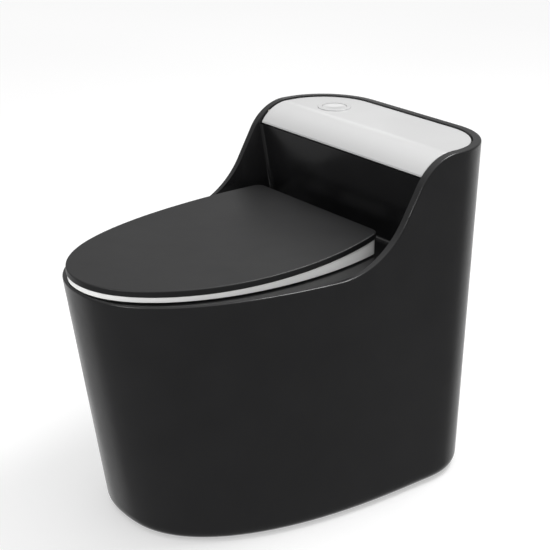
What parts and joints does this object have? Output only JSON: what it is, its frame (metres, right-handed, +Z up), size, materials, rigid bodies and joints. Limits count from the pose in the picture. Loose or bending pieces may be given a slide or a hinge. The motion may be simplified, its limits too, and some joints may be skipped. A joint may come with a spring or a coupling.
{
  "type": "toilet",
  "caption": "One-piece floor-standing toilet with raised cistern, hinged seat and lid, lift-off cistern lid and push-button flush.",
  "frame": {"origin": "on the floor, under the middle of the overall length and width", "axes": "+Z up, -Y towards the nose of the bowl, +Y towards the cistern and the wall, +X to the right when facing +Y"},
  "size_m": [0.4522, 0.7, 0.6],
  "materials": {
    "black_glaze": "satin matt black glaze on vitreous china",
    "white_glaze": "gloss white glaze on vitreous china",
    "raw_china": "unglazed fired china",
    "white_seat": "moulded urea seat",
    "black_lid": "satin black moulded urea",
    "seat_rubber": "soft white rubber",
    "hinge_chrome": "chrome-plated zinc",
    "hinge_steel": "stainless steel",
    "valve_white": "moulded acetal",
    "valve_grey": "moulded polypropylene",
    "valve_blue": "moulded acetal",
    "rubber": "black rubber",
    "white_lid": "moulded white cistern lid",
    "white_button": "moulded white button"
  },
  "bodies": {
    "china": {"outer_shell": "black_glaze", "bowl": "white_glaze", "trapway": "raw_china", "flush_channel": "raw_china", "cistern_floor": "raw_china", "hinge_posts": "hinge_chrome", "hinge_pins": "hinge_steel", "seat_studs": "hinge_steel", "seat_washers": "rubber", "seat_wing_nuts": "valve_white", "cistern_lid_pads": "rubber", "flush_valve_body": "valve_white", "flush_valve_gasket": "rubber", "flush_valve_screws": "hinge_steel", "flush_lever_pin": "hinge_steel", "fill_valve_body": "valve_white", "fill_valve_cap": "valve_blue", "fill_valve_gasket": "rubber", "fill_valve_nut": "valve_white", "outlet_gasket": "rubber"},
    "seat": {"seat_ring": "white_seat", "seat_bumpers": "seat_rubber", "soft_close_dampers": "valve_grey"},
    "lid": {"seat_lid": "black_lid", "lid_bumpers": "seat_rubber"},
    "cistern_cover": {"cistern_lid": "white_lid", "button_bezel": "white_button", "button_ring_nut": "valve_white"},
    "button": {"push_button": "white_button", "push_rod": "valve_grey"},
    "lever": {"flush_lever": "valve_grey"},
    "valve_lift": {"lift_tube": "valve_grey", "flush_seal": "rubber"},
    "float": {"fill_valve_float": "valve_grey"}
  },
  "joints": [
    {"name": "lid_hinge", "type": "hinge", "parent": "china", "child": "lid", "pos_m": [0, 0.112, 0.447], "axis": [-1, 0, 0], "range_deg": [0, 95]},
    {"name": "seat_hinge", "type": "hinge", "parent": "china", "child": "seat", "pos_m": [0, 0.112, 0.447], "axis": [-1, 0, 0], "range_deg": [0, 93]},
    {"name": "cistern_lid_lift", "type": "slide", "parent": "china", "child": "cistern_cover", "axis": [0, 0, 1], "range_m": [0, 0.12]},
    {"name": "button_press", "type": "slide", "parent": "cistern_cover", "child": "button", "axis": [0, 0, -1], "range_m": [0, 0.005], "stiffness_N_per_m": 300, "springref_m": -0.002},
    {"name": "lever_rock", "type": "hinge", "parent": "china", "child": "lever", "pos_m": [-0.104, 0.262, 0.54], "axis": [0, -1, 0], "range_deg": [0, 20.5]},
    {"name": "flush_seal_lift", "type": "slide", "parent": "china", "child": "valve_lift", "axis": [0, 0, 1], "range_m": [0, 0.0125]},
    {"name": "float_rise", "type": "slide", "parent": "china", "child": "float", "axis": [0, 0, 1], "range_m": [0, 0.038]}
  ],
  "couplings": [
    {"joint": "seat_hinge", "follows": "lid_hinge", "ratio": 0.97895},
    {"joint": "lever_rock", "follows": "button_press", "rad_per_m": 71.4},
    {"joint": "flush_seal_lift", "follows": "button_press", "ratio": 2.5}
  ]
}
